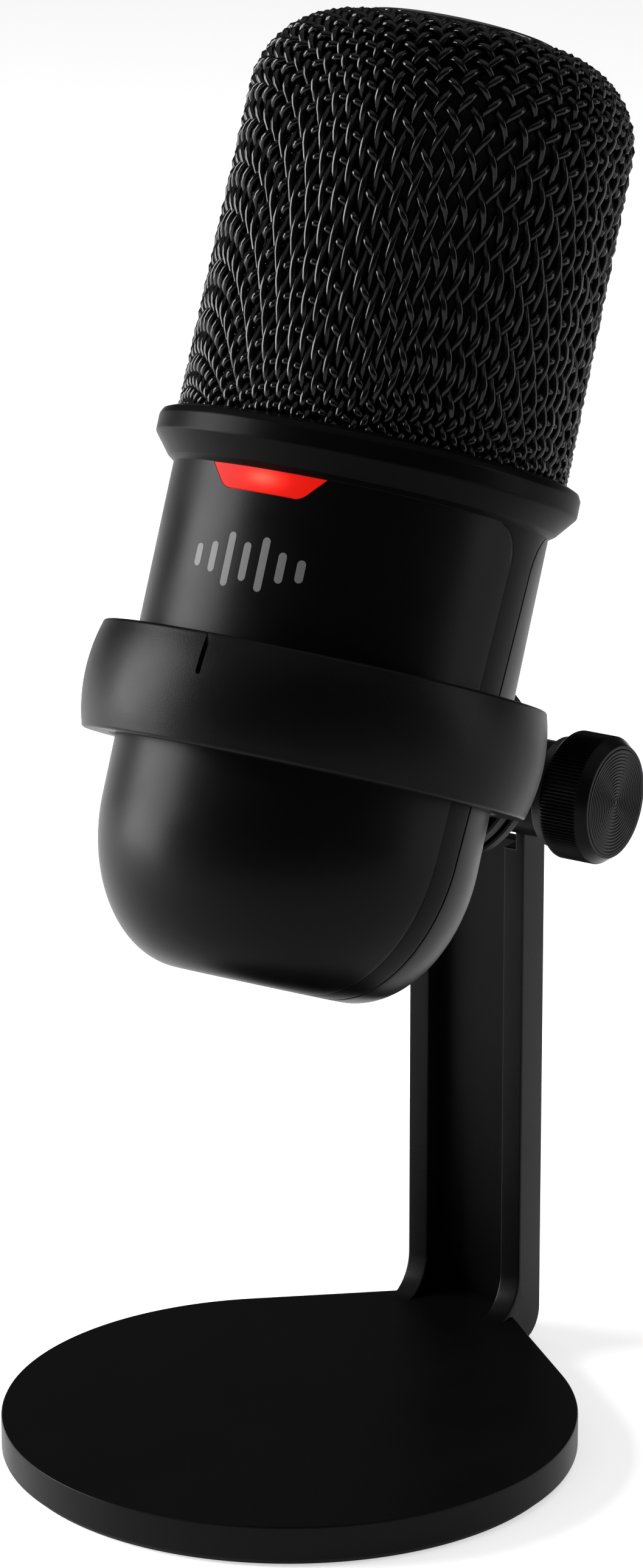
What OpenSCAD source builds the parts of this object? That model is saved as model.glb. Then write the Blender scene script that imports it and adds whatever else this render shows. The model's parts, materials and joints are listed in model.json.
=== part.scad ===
// Desktop condenser microphone on a flat metal stand.
// Frame: millimetres, +Z up, front towards -Y, clamp knob on +X.
// The origin is the centre of the round base, on the surface it rests on.

/* [Base] */
// Radius of the round base
base_r = 39.25; // [38:0.25:42]
// Height of the base's top face above the table
base_top = 5.7; // [5:0.1:7]
// Thickness of the rubber pad under the base
pad_t = 0.8; // [0.5:0.1:1.2]
// Bevel round the base's top edge
base_bevel = 0.45; // [0.2:0.05:0.8]

/* [Upright] */
// Width of the upright
post_w = 18.4; // [17:0.2:20]
// Front face of the upright
post_front = 45.4; // [44.5:0.1:46]
// Back face of the upright
post_back = 51.3; // [50.5:0.1:52.5]
// Width of the rim on each side of the upright's channel
rim_w = 3.2; // [2.8:0.1:3.6]
// Wall left behind the channel
web_t = 2.3; // [1.8:0.1:3]
// Height of the upright below its ears
post_top = 74.4; // [72:0.1:75]
// Radius where the rims run forward into the base
foot_fillet = 5.5; // [4:0.5:5.5]

/* [Hinge] */
// Height of the tilt axis
hinge_z = 82.8; // [82:0.1:86]
// Outer radius of the ears, bosses and knuckle
hinge_r = 6.8; // [6.4:0.1:7]
// Thickness of each ear
ear_t = 1.4; // [1.2:0.1:2]
// Radius of the clamp screw
screw_r = 2.5; // [2.4:0.05:2.6]
// Radius of the clamp knob
knob_r = 8.9; // [8.5:0.1:9.5]
// Outer end of the clamp knob
knob_end = 22.05; // [21:0.05:23]
// Lean of the microphone, backwards from upright
tilt = 22.8; // [0:0.1:30]

/* [Microphone] */
// Radius of the body
body_r = 25.35; // [25:0.05:25.6]
// Wall of the body shells
shell_t = 2; // [1.6:0.1:2.4]
// Outer radius of the collar
collar_r = 28.5; // [28:0.1:29.5]
// Radius of the wire grille at its foot
grille_r = 26.4; // [26:0.1:26.6]
// Height of the grille's flat top above the ring's middle
grille_top = 93.1; // [90:0.1:96]
// Rounding of the grille's shoulder
shoulder_r = 12.1; // [11:0.1:13]
// Widest radius of the carrying ring
ring_r = 31; // [30.4:0.1:31.6]
// Height of the carrying ring
ring_h = 14.6; // [13:0.1:16]
// Radius of the swivel disc behind the ring
disc_r = 13.8; // [13:0.1:14]

/* [Hidden] */

cut = 0.5;             // overshoot of a cutting shape
round_fn = 96;

half_w = post_w / 2;
channel_half = half_w - rim_w;
base_thick = base_top - pad_t;

// The base's straight flanks run from the disc to the upright's front corners.
tail_y = 43.8;
joint_y = 39.6;        // where the base plate meets the upright's foot
corner_r = 4;          // rounding behind the foot
tail_dist = norm([half_w, tail_y]);
flank_angle = atan2(half_w, tail_y) + acos(base_r / tail_dist);

// The lap that joins the base plate to the foot
lap_half = 7.6;
lap_top = pad_t + 2;
lap_end = 47.2;
base_screw_x = 4.4;
base_screw_y = 43.6;
base_screw_r = 1.2;

hinge_y = 48.4;
hinge_back = 46.3;     // the tilt axis is this far behind the microphone's axis
hinge_drop = 1.1;      // and this far below the ring's middle
knuckle_half = half_w - ear_t - 0.3;
right_boss = 12.9;
left_boss = 13;
nut_flats = 8;
nut_h = 3.8;
screw_fit = 0.06;
clamp_washer_r = 7.7;  // clear of the swivel disc
knob_start = 14.8;
knob_bevel = 0.6;
knob_face_r = 7.3;

disc_drop = 0.8;       // the swivel axis is this far below the ring's middle
ring_disc = [33, 35.4];
washer_y = [35.7, 36];
rear_disc = [36, 38.2];
neck_half = 5;         // half height of the bracket's neck
pin_r = 3;
pin_head_r = 5.1;
pin_head = [27.2, 29.1];

ring_in = 26;
ring_mid = 0.3;
ring_arc = 24.4;       // radius of the ring's barrel curve
ring_lo = ring_mid - ring_h / 2;
ring_hi = ring_mid + ring_h / 2;

body_top = 29.9;
body_low = -35.5;
dome_z = -15;          // where the body starts to round under
dome_x = 11;           // radius of the flat underneath
dome_h = dome_z - body_low;
seam_gap = 0.2;
seam_round = 5;        // corner of the shells beside the collar
seam_front = [-3.1, 0.06];   // seam place at the ring's middle, and its slope
seam_rear = [2.1, 0.095];
cap_r = 10.4;

collar_low = 30;
collar_high = 37;
ledge_r = 21.5;
ledge_z = 33.6;

light_half = [5.9, 8.7];     // half widths of the light, below and above
light_low = 26.8;
port_z = 20;
port_w = 8.9;
port_h = 3.2;
board_x = 17;          // half width of the main board
board_y = [3.2, 4.8];
board_z = [-24, 27];
board_hole = [13.5, -18, 22];   // how far out the screws are, and their two heights
light_board_y = [-20.4, -19.4];
led_half = 1;

shoulder_x = 14;
shoulder_z = grille_top - shoulder_r;
grille_t = 1.8;
plate_r = 13.4;
foam_gap = grille_t + 0.3;
foam_in = foam_gap + 2;
capsule_z = 62;
capsule_r = 7;
bridge_z = 84.5;       // top of the inner frame's two posts
frame_x = 14.5;
lead_r = 1;
lead_y = 7;
lead_z = 25;

// ---------- helpers ----------

// Places what was drawn about the upright microphone's own axis
module on_head()
    translate([0, hinge_y, hinge_z]) rotate([-tilt, 0, 0])
        translate([0, -hinge_back, hinge_drop]) children();

// A shape drawn as (Y, Z) and given thickness along X
module side_profile(x0, x1)
    translate([x0, 0, 0]) rotate([90, 0, 90]) linear_extrude(x1 - x0) children();

module rod_x(r, x0, x1, y = 0, z = 0)
    translate([x0, y, z]) rotate([0, 90, 0]) cylinder(r = r, h = x1 - x0, $fn = round_fn);

module rod_y(r, y0, y1, x = 0, z = 0)
    translate([x, y0, z]) rotate([-90, 0, 0]) cylinder(r = r, h = y1 - y0, $fn = round_fn);

module tube_z(r_out, r_in, z0, z1)
    translate([0, 0, z0]) difference() {
        cylinder(r = r_out, h = z1 - z0, $fn = round_fn);
        translate([0, 0, -cut]) cylinder(r = r_in, h = z1 - z0 + 2 * cut, $fn = round_fn);
    }

module box(x, y, z)
    translate([x[0], y[0], z[0]]) cube([x[1] - x[0], y[1] - y[0], z[1] - z[0]]);

module turned(points)
    rotate_extrude($fn = round_fn) polygon(points);

function arc(cx, cy, rx, ry, from, to, steps) =
    [for (i = [0:steps]) let (a = from + (to - from) * i / steps) [cx + rx * cos(a), cy + ry * sin(a)]];

// ---------- stand ----------

// Outline of the tapering back of the base, drawn in by inset along its flanks
function flank_x(y, inset) = (base_r - inset - y * cos(flank_angle)) / sin(flank_angle);

module tail_outline(inset) {
    tangent = (base_r - inset) * [sin(flank_angle), cos(flank_angle)];
    end_y = tail_y + 1;
    end_x = flank_x(end_y, inset);
    polygon([tangent, [end_x, end_y], [-end_x, end_y], [-tangent[0], tangent[1]]]);
}

module base_form() {
    rotate_extrude($fn = 2 * round_fn) polygon([
        [0, pad_t], [base_r, pad_t], [base_r, base_top - base_bevel],
        [base_r - base_bevel, base_top], [0, base_top]
    ]);
    hull() {
        translate([0, 0, pad_t]) linear_extrude(base_thick - base_bevel) tail_outline(0);
        translate([0, 0, pad_t]) linear_extrude(base_thick) tail_outline(base_bevel);
    }
}

module base_screw_places()
    for (side = [-1, 1]) translate([side * base_screw_x, base_screw_y, 0]) children();

module base_plate()
    color([0.03, 0.03, 0.03]) difference() {
        union() {
            difference() {
                base_form();
                box([-base_r, base_r], [joint_y, base_r + 10], [0, base_top + cut]);
            }
            box([-lap_half, lap_half], [joint_y - 1, lap_end], [pad_t, lap_top]);
        }
        base_screw_places() cylinder(r = base_screw_r + 0.2, h = 10, $fn = round_fn);
        base_screw_places() translate([0, 0, pad_t - cut])
            cylinder(r = 2.4, h = cut + 1.1, $fn = round_fn);
    }

module foot_pad()
    color([0.06, 0.06, 0.06]) {
        cylinder(r = base_r - 1, h = pad_t, $fn = 2 * round_fn);
        linear_extrude(pad_t) polygon([
            [flank_x(30, 1), 30], [flank_x(joint_y, 1), joint_y],
            [-flank_x(joint_y, 1), joint_y], [-flank_x(30, 1), 30]
        ]);
    }

module base_screws()
    color([0.5, 0.5, 0.52]) base_screw_places() {
        translate([0, 0, pad_t + 0.1]) difference() {
            cylinder(r = 2.2, h = 0.95, $fn = round_fn);
            translate([0, 0, -cut]) cylinder(r = 1, h = cut + 0.6, $fn = 6);
        }
        translate([0, 0, pad_t + 1]) cylinder(r = base_screw_r, h = 3.2, $fn = round_fn);
    }

module post_outline()
    difference() {
        union() {
            translate([post_front, pad_t]) square([post_back - post_front, post_top - pad_t]);
            translate([joint_y, pad_t]) square([post_back - joint_y, base_thick]);
            difference() {
                translate([post_front - foot_fillet, base_top]) square(foot_fillet + cut);
                translate([post_front - foot_fillet, base_top + foot_fillet])
                    circle(r = foot_fillet, $fn = round_fn);
            }
        }
        difference() {
            translate([post_back - corner_r, pad_t - cut]) square([corner_r + cut, corner_r + cut]);
            translate([post_back - corner_r, pad_t + corner_r]) circle(r = corner_r, $fn = round_fn);
        }
    }

module ear_outline() {
    translate([post_front, post_top - 1]) square([post_back - post_front, hinge_z - post_top + 1]);
    translate([hinge_y, hinge_z]) circle(r = hinge_r, $fn = round_fn);
}

module upright_post()
    color([0.03, 0.03, 0.03]) difference() {
        union() {
            side_profile(-half_w, half_w) post_outline();
            side_profile(half_w - ear_t, half_w) ear_outline();
            side_profile(-half_w, ear_t - half_w) ear_outline();
            rod_x(hinge_r, half_w - 0.2, right_boss, hinge_y, hinge_z);
            rod_x(hinge_r, -left_boss, 0.2 - half_w, hinge_y, hinge_z);
            intersection() {
                base_form();
                box([-base_r, base_r], [joint_y, tail_y + 2], [0, base_top + cut]);
            }
        }
        box([-channel_half, channel_half], [0, post_back - web_t], [base_top, post_top + cut]);
        box([-lap_half - 0.05, lap_half + 0.05], [0, lap_end + 0.05], [0, lap_top + 0.05]);
        base_screw_places() cylinder(r = base_screw_r + 0.02, h = 5.3, $fn = round_fn);
        rod_x(screw_r + screw_fit, -left_boss - 1, right_boss + 1, hinge_y, hinge_z);
        translate([-left_boss - cut, hinge_y, hinge_z]) rotate([0, 90, 0])
            cylinder(d = (nut_flats + 0.1) / cos(30), h = nut_h + 0.2 + cut, $fn = 6);
    }

module hinge_nut()
    color([0.6, 0.6, 0.62]) translate([-left_boss + 0.1, hinge_y, hinge_z]) rotate([0, 90, 0])
        difference() {
            cylinder(d = nut_flats / cos(30), h = nut_h, $fn = 6);
            translate([0, 0, -cut]) cylinder(r = screw_r + screw_fit, h = nut_h + 2 * cut, $fn = round_fn);
        }

module hinge_cap()
    color([0.03, 0.03, 0.03]) translate([-left_boss - 1.3, hinge_y, hinge_z]) rotate([0, 90, 0])
        turned([[0, 0], [hinge_r - 0.7, 0], [hinge_r - 0.2, 0.5], [hinge_r - 0.2, 1.3], [0, 1.3]]);

// ---------- clamp ----------

module clamp_washer()
    color([0.05, 0.05, 0.05]) difference() {
        rod_x(clamp_washer_r, right_boss + 0.1, knob_start - 0.1, hinge_y, hinge_z);
        rod_x(screw_r + screw_fit, right_boss - 1, knob_start + 1, hinge_y, hinge_z);
    }

module knob_grip()
    color([0.04, 0.04, 0.04]) translate([knob_start, hinge_y, hinge_z]) rotate([0, 90, 0])
        difference() {
            turned([
                [0, 0], [knob_r - 0.5, 0], [knob_r, 0.5], [knob_r, knob_end - knob_start - knob_bevel - 0.9],
                [knob_face_r + 0.5, knob_end - knob_start - 0.1], [0, knob_end - knob_start - 0.1]
            ]);
            translate([0, 0, -cut]) cylinder(r = screw_r + 0.02, h = 3.2 + cut, $fn = round_fn);
            translate([0, 0, knob_end - knob_start - 0.7])
                cylinder(r = knob_face_r + 0.05, h = 2, $fn = round_fn);
        }

module knob_face()
    color([0.12, 0.12, 0.12]) rod_x(knob_face_r, knob_end - 0.65, knob_end, hinge_y, hinge_z);

module clamp_screw()
    color([0.55, 0.55, 0.57]) rod_x(screw_r, -left_boss + 0.6, knob_start + 3.1, hinge_y, hinge_z);

// ---------- swivel bracket ----------

module hinge_bracket()
    color([0.03, 0.03, 0.03]) on_head() difference() {
        union() {
            translate([0, rear_disc[0], -disc_drop]) rotate([-90, 0, 0]) turned([
                [0, 0], [disc_r, 0], [disc_r, rear_disc[1] - rear_disc[0] - 0.5],
                [disc_r - 0.5, rear_disc[1] - rear_disc[0]], [0, rear_disc[1] - rear_disc[0]]
            ]);
            rod_x(hinge_r - 0.1, -knuckle_half, knuckle_half, hinge_back, -hinge_drop);
            box([-knuckle_half, knuckle_half], [rear_disc[1] - 0.5, hinge_back],
                [-hinge_drop - neck_half, -hinge_drop + neck_half]);
        }
        rod_x(screw_r + screw_fit, -knuckle_half - 1, knuckle_half + 1, hinge_back, -hinge_drop);
        rod_y(pin_r + 0.02, 30, 41, 0, -disc_drop);
    }

module swivel_washer()
    color([0.1, 0.1, 0.1]) on_head() difference() {
        rod_y(disc_r - 1, washer_y[0], washer_y[1], 0, -disc_drop);
        rod_y(pin_r + 0.1, washer_y[0] - 1, washer_y[1] + 1, 0, -disc_drop);
    }

module swivel_pin()
    color([0.55, 0.55, 0.57]) on_head() {
        rod_y(pin_head_r, pin_head[0], pin_head[1], 0, -disc_drop);
        rod_y(pin_r, pin_head[1] - 0.1, 40.8, 0, -disc_drop);
    }

// ---------- carrying ring ----------

function barrel(z) = ring_r - ring_arc + sqrt(ring_arc * ring_arc - (z - ring_mid) * (z - ring_mid));

function ring_section() = concat(
    [[ring_in, ring_hi - 0.4], [ring_in, ring_lo + 0.4], [ring_in + 0.4, ring_lo],
     [barrel(ring_lo) - 0.8, ring_lo], [barrel(ring_lo) - 0.2, ring_lo + 0.25]],
    [for (i = [0:10]) let (z = ring_lo + 0.8 + (ring_h - 1.6) * i / 10) [barrel(z), z]],
    [[barrel(ring_hi) - 0.2, ring_hi - 0.25], [barrel(ring_hi) - 0.8, ring_hi], [ring_in + 0.4, ring_hi]]
);

module carrying_ring()
    color([0.03, 0.03, 0.03]) on_head() difference() {
        union() {
            turned(ring_section());
            difference() {
                union() {
                    rod_y(11, 28, ring_disc[0] + 0.1, 0, -disc_drop);
                    rod_y(disc_r - 0.4, ring_disc[0], ring_disc[1], 0, -disc_drop);
                }
                translate([0, 0, -20]) cylinder(r = ring_in + 1, h = 40, $fn = round_fn);
            }
        }
        rod_y(pin_r + 0.05, 20, 40, 0, -disc_drop);
        rod_y(pin_head_r + 0.4, 20, pin_head[1] + 0.3, 0, -disc_drop);
        box([-0.35, 0.35], [-ring_r - 1, -barrel(5) + 0.6], [2.3, ring_hi + 1]);
        translate([0, -ring_r - 1, 2.3]) rotate([-90, 0, 0])
            cylinder(r = 0.42, h = 1.6 + ring_r - barrel(5), $fn = 24);
    }

module ring_liner()
    color([0.08, 0.08, 0.08]) on_head()
        tube_z(ring_in - 0.05, body_r + 0.05, ring_lo + 0.8, ring_hi - 0.8);

// ---------- body ----------

function body_section(inset, top) = concat(
    [[0, body_low + inset]],
    arc(dome_x, dome_z, body_r - dome_x - inset, dome_h - inset, -90, 0, 12),
    [[body_r - inset, top], [0, top]]
);

module body_wall(t)
    difference() {
        turned(body_section(0, body_top));
        turned(body_section(t, body_top + cut));
    }

// Side view of the shells: everything beyond one seam, with a rounded corner by the collar
function seam_y(seam, z) = seam[0] + seam[1] * z;

module shell_side(seam, side, gap) {
    turn = atan(seam[1]);
    top_z = body_top + gap;
    arc_z = top_z - seam_round;
    arc_y = seam_y(seam, arc_z) + side * (seam_round - gap);
    start_z = body_low - 10;
    polygon(concat(
        [[seam_y(seam, start_z) - side * gap, start_z]],
        [for (a = [0:10:90]) [arc_y - side * seam_round * cos(a - side * turn * (1 - a / 90)),
                              arc_z + seam_round * sin(a)]],
        [[side * 40, top_z], [side * 40, start_z]]
    ));
}

module front_side(gap) side_profile(-40, 40) shell_side(seam_front, -1, gap);

module rear_side(gap) side_profile(-40, 40) shell_side(seam_rear, 1, gap);

module light_outline(grow)
    polygon([
        [-light_half[0] - grow, light_low - grow], [light_half[0] + grow, light_low - grow],
        [light_half[1] + grow, body_top + grow], [-light_half[1] - grow, body_top + grow]
    ]);

module light_block(grow)
    rotate([90, 0, 0]) linear_extrude(body_r + 5) light_outline(grow);

module chassis_frame()
    color([0.04, 0.04, 0.04]) on_head() difference() {
        union() {
            difference() {
                body_wall(shell_t + 1);
                front_side(seam_gap);
                rear_side(seam_gap);
            }
            turned([
                [ledge_r, collar_low - 0.15], [body_r, collar_low - 0.15], [body_r, collar_low],
                [body_r + 0.9, collar_low + 0.6], [collar_r, collar_low + 3.4],
                [collar_r, collar_high - 1.3], [collar_r - 0.4, collar_high - 0.5],
                [collar_r - 1.6, collar_high], [grille_r + 0.1, collar_high],
                [grille_r + 0.1, ledge_z], [ledge_r, ledge_z]
            ]);
        }
        deck_screw_places(ledge_r + 1.2) cylinder(r = 0.82, h = 20, $fn = round_fn, center = true);
        translate([0, 0, body_low - 1]) cylinder(r = cap_r + 0.1, h = 2.5, $fn = round_fn);
    }

module front_shell()
    color([0.04, 0.04, 0.04]) on_head() difference() {
        intersection() {
            body_wall(shell_t);
            front_side(0);
        }
        light_block(0.08);
        translate([0, 0, body_low - 1]) cylinder(r = cap_r + 0.1, h = 2.5, $fn = round_fn);
    }

module board_screw_places()
    for (x = [-1, 1] * board_hole[0], z = [board_hole[1], board_hole[2]]) translate([x, 0, z]) children();

module rear_shell()
    color([0.04, 0.04, 0.04]) on_head() difference() {
        union() {
            intersection() {
                body_wall(shell_t);
                rear_side(0);
            }
            intersection() {
                board_screw_places() rod_y(2.6, 4.9, 22);
                turned(body_section(shell_t - 0.3, body_top));
            }
        }
        board_screw_places() rod_y(1.22, 3, 12);
        port_slot(port_w + 1.7, port_h + 1.7, 15, 30);
        translate([0, 0, body_low - 1]) cylinder(r = cap_r + 0.1, h = 2.5, $fn = round_fn);
    }

module bottom_cap()
    color([0.05, 0.05, 0.05]) on_head() translate([0, 0, body_low + 0.1])
        turned([[0, 0], [cap_r - 0.3, 0], [cap_r, 0.3], [cap_r, 1.35], [0, 1.35]]);

// ---------- light ----------

module status_light()
    color([1, 0.1, 0.08]) on_head() intersection() {
        difference() {
            turned(body_section(0, body_top - 0.1));
            turned(body_section(shell_t + 0.4, body_top + cut));
        }
        light_block(0);
    }

module light_board()
    color([0.05, 0.25, 0.1]) on_head() box([-7.5, 7.5], light_board_y, [24, 29.4]);

module light_leds()
    color([0.95, 0.9, 0.8]) on_head() for (x = [-4.5, 0, 4.5])
        box([x - led_half, x + led_half], [light_board_y[0] - 0.8, light_board_y[0]], [27, 29]);

// ---------- electronics ----------

module main_board()
    color([0.05, 0.25, 0.1]) on_head() difference() {
        box([-board_x, board_x], board_y, board_z);
        board_screw_places() rod_y(1.4, 2, 6);
    }

module board_screws()
    color([0.6, 0.6, 0.62]) on_head() board_screw_places() {
        rod_y(2.2, board_y[0] - 1.5, board_y[0]);
        rod_y(1.2, board_y[0] - 0.1, 11);
    }

module board_parts()
    color([0.1, 0.1, 0.1]) on_head() {
        box([-5, 5], [board_y[0] - 1, board_y[0]], [2, 12]);
        box([-3, 3], [board_y[0] - 1, board_y[0]], [-12, -7]);
        for (side = [-1, 1]) rod_y(2.5, board_y[0] - 5.5, board_y[0], side * 9, -6);
        box([-12, -9], [board_y[0] - 1.4, board_y[0]], [14, 19]);
    }

// A slot with round ends, along Y, at the port's height
module port_slot(w, h, y0, y1)
    translate([0, y1, port_z]) rotate([90, 0, 0]) linear_extrude(y1 - y0) {
        square([w - h, h], center = true);
        for (side = [-1, 1]) translate([side * (w - h) / 2, 0]) circle(d = h, $fn = 48);
    }

module usb_port()
    color([0.7, 0.7, 0.72]) on_head() {
        difference() {
            port_slot(port_w, port_h, 17.4, 24.7);
            port_slot(port_w - 0.6, port_h - 0.6, 18.4, 26);
        }
        box([-3.35, 3.35], [18.2, 23.6], [port_z - 0.35, port_z + 0.35]);
        box([-4, 4], [board_y[1], 17.5], [port_z - 0.6, port_z + 0.6]);
    }

module port_bezel()
    color([0.02, 0.02, 0.02]) on_head() intersection() {
        difference() {
            port_slot(port_w + 1.6, port_h + 1.6, 22.6, 26);
            port_slot(port_w + 0.1, port_h + 0.1, 20, 27);
        }
        turned(body_section(0.15, body_top));
    }

module deck_screw_places(r)
    for (a = [45:90:315]) rotate([0, 0, a]) translate([r, 0, ledge_z]) children();

module deck_plate()
    color([0.07, 0.07, 0.07]) on_head() difference() {
        translate([0, 0, ledge_z]) cylinder(r = 24, h = 1.6, $fn = round_fn);
        deck_screw_places(ledge_r + 1.2) cylinder(r = 1, h = 10, $fn = round_fn, center = true);
        translate([0, lead_y, ledge_z]) cylinder(r = 2, h = 10, $fn = round_fn, center = true);
    }

module deck_screws()
    color([0.6, 0.6, 0.62]) on_head() deck_screw_places(ledge_r + 1.2) {
        translate([0, 0, 1.6]) cylinder(r = 1.2, h = 0.9, $fn = round_fn);
        translate([0, 0, -2.6]) cylinder(r = 0.8, h = 4.3, $fn = round_fn);
    }

// ---------- grille ----------

function grille_section(inset, low) = concat(
    [[grille_r - inset, low]],
    arc(shoulder_x, shoulder_z, shoulder_r - inset, shoulder_r - inset, 0, 90, 10)
);

module grille_hem()
    color([0.05, 0.05, 0.05]) on_head() tube_z(grille_r, grille_r - 1.6, ledge_z + 0.05, collar_high);

module grille()
    color([0.05, 0.05, 0.05]) on_head() turned(concat(
        grille_section(0, collar_high),
        [[plate_r + 0.2, grille_top], [plate_r + 0.2, grille_top - grille_t]],
        [for (i = [10:-1:0]) grille_section(grille_t, collar_high)[i + 1]],
        [[grille_r - grille_t, collar_high]]
    ));

module foam_liner()
    color([0.12, 0.12, 0.12]) on_head() turned(concat(
        grille_section(foam_gap, ledge_z + 3),
        [[shoulder_x, grille_top - foam_in]],
        [for (i = [10:-1:0]) grille_section(foam_in, ledge_z)[i + 1]],
        [[grille_r - foam_in, ledge_z + 3]]
    ));

// ---------- inside the grille ----------

module mic_frame()
    color([0.07, 0.07, 0.07]) on_head() difference() {
        union() {
            tube_z(18, 12, ledge_z + 1.6, ledge_z + 3.6);
            for (side = [-1, 1]) box([side * frame_x - 1.5, side * frame_x + 1.5], [-3.5, 3.5],
                [ledge_z + 3, bridge_z + 1.5]);
            translate([0, 0, bridge_z]) cylinder(r = 17, h = 1.5, $fn = round_fn);
            difference() {
                box([-frame_x, frame_x], [-2, 2], [capsule_z - 3, capsule_z + 3]);
                rod_y(capsule_r + 1.9, -5, 5, 0, capsule_z);
            }
        }
        translate([0, 0, 80]) cylinder(r = 2.5, h = 10, $fn = round_fn);
    }

module capsule_cup()
    color([0.09, 0.09, 0.09]) on_head() difference() {
        rod_y(capsule_r + 1.85, -5, 4.5, 0, capsule_z);
        rod_y(capsule_r + 0.05, -6, 3, 0, capsule_z);
        rod_y(2, 0, 6, 0, capsule_z);
    }

module capsule()
    color([0.75, 0.7, 0.55]) on_head() difference() {
        rod_y(capsule_r, -4.6, 2.8, 0, capsule_z);
        rod_y(capsule_r - 1.2, -5, -4.2, 0, capsule_z);
    }

module capsule_lead()
    color([0.3, 0.3, 0.3]) on_head() {
        rod_y(lead_r - 0.2, 2.9, lead_y, 0, capsule_z);
        translate([0, lead_y, lead_z - 1.5]) cylinder(r = lead_r, h = capsule_z - lead_z + 3, $fn = round_fn);
        rod_y(lead_r - 0.2, board_y[1], lead_y, 0, lead_z);
    }

module touch_plate()
    color([0.03, 0.03, 0.03]) on_head() translate([0, 0, grille_top - 1.1])
        turned([[0, 0], [plate_r, 0], [plate_r, 1.3], [plate_r - 0.4, 1.6], [0, 1.6]]);

module plate_seat()
    color([0.07, 0.07, 0.07]) on_head() turned([
        [0, bridge_z + 3.9], [11.5, bridge_z + 3.9], [11.5, bridge_z + 1.5], [13, bridge_z + 1.5],
        [13, bridge_z + 5.1], [plate_r, bridge_z + 5.7],
        [plate_r, grille_top - 1.1], [0, grille_top - 1.1]
    ]);

module sensor_board()
    color([0.05, 0.25, 0.1]) on_head() translate([0, 0, bridge_z + 2.3])
        cylinder(r = 10.5, h = 1.6, $fn = round_fn);

// ---------- what is shown ----------

base_plate();
foot_pad();
upright_post();
base_screws();
hinge_nut();
hinge_cap();
clamp_washer();
knob_grip();
knob_face();
clamp_screw();
hinge_bracket();
swivel_washer();
swivel_pin();
carrying_ring();
ring_liner();
chassis_frame();
front_shell();
rear_shell();
bottom_cap();
status_light();
light_board();
light_leds();
main_board();
board_screws();
board_parts();
usb_port();
port_bezel();
deck_plate();
deck_screws();
grille_hem();
grille();
foam_liner();
mic_frame();
capsule_cup();
capsule();
capsule_lead();
touch_plate();
plate_seat();
sensor_board();
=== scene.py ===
import json
import math

import bmesh
import bpy
from mathutils import Matrix, Vector, noise


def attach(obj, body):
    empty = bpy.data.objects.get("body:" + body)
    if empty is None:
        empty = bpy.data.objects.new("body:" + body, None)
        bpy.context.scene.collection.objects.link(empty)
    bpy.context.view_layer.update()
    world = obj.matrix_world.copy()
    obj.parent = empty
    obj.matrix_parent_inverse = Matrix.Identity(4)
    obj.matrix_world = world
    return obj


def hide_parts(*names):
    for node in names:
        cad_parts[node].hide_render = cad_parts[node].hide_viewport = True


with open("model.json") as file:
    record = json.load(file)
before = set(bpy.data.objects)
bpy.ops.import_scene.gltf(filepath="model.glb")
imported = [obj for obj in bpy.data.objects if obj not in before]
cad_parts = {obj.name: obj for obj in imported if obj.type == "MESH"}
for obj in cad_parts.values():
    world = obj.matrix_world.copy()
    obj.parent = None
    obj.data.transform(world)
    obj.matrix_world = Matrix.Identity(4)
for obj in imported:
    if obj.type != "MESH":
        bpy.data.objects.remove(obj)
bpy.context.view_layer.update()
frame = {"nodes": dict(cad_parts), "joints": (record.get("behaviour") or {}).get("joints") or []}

mm = 0.001
joints = {joint["name"]: joint for joint in frame["joints"]}
print("stage: frame loaded with", len(frame["nodes"]), "nodes")

# Camera and light

view = {
    "azimuth": 32.524,        # degrees round from the front, towards the knob side
    "elevation": 17.941,
    "distance": 0.880,
    "lens": 148.2,
    "right": 0.00433,         # where the view's middle lies
    "up": 0.0902,
}
studio = {
    "paper": (0.90, 0.90, 0.90),
    "backdrop": 1.0,          # brightness behind the object, seen past the floor
    "paperGlow": 0.56,        # the paper is lit from below too, as a light table is
    "room": 0.07,             # how bright the room is to everything in it
    "aim": 0.09,              # height the boxes are turned towards
    "floorRadius": 2.4,
}
softBoxes = {                 # degrees round from the view and up, metres away, size, watts
    "left_box": (-98, 14, 0.80, (0.50, 0.60), 15.0),
    "right_box": (84, 16, 0.85, (0.30, 0.60), 1.9),
    "top_box": (0, 89, 1.70, (2.8, 2.8), 16.0),
}


def viewAxes(azimuth, elevation):
    around, rise = math.radians(azimuth), math.radians(elevation)
    back = Vector((math.sin(around) * math.cos(rise), -math.cos(around) * math.cos(rise), math.sin(rise)))
    right = Vector((math.cos(around), math.sin(around), 0))
    return right, back.cross(right), back


def addSoftBox(name, turn, elevation, distance, size, watts):
    right, up, back = viewAxes(view["azimuth"] + turn, elevation)
    area = bpy.data.lights.new(name, "AREA")
    area.shape = "RECTANGLE"
    area.size, area.size_y = size
    area.energy = watts
    box = bpy.data.objects.new(name, area)
    box.matrix_world = Matrix((right, up, back)).transposed().to_4x4()
    box.location = Vector((0, 0, studio["aim"])) + back * distance
    bpy.context.scene.collection.objects.link(box)


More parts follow.
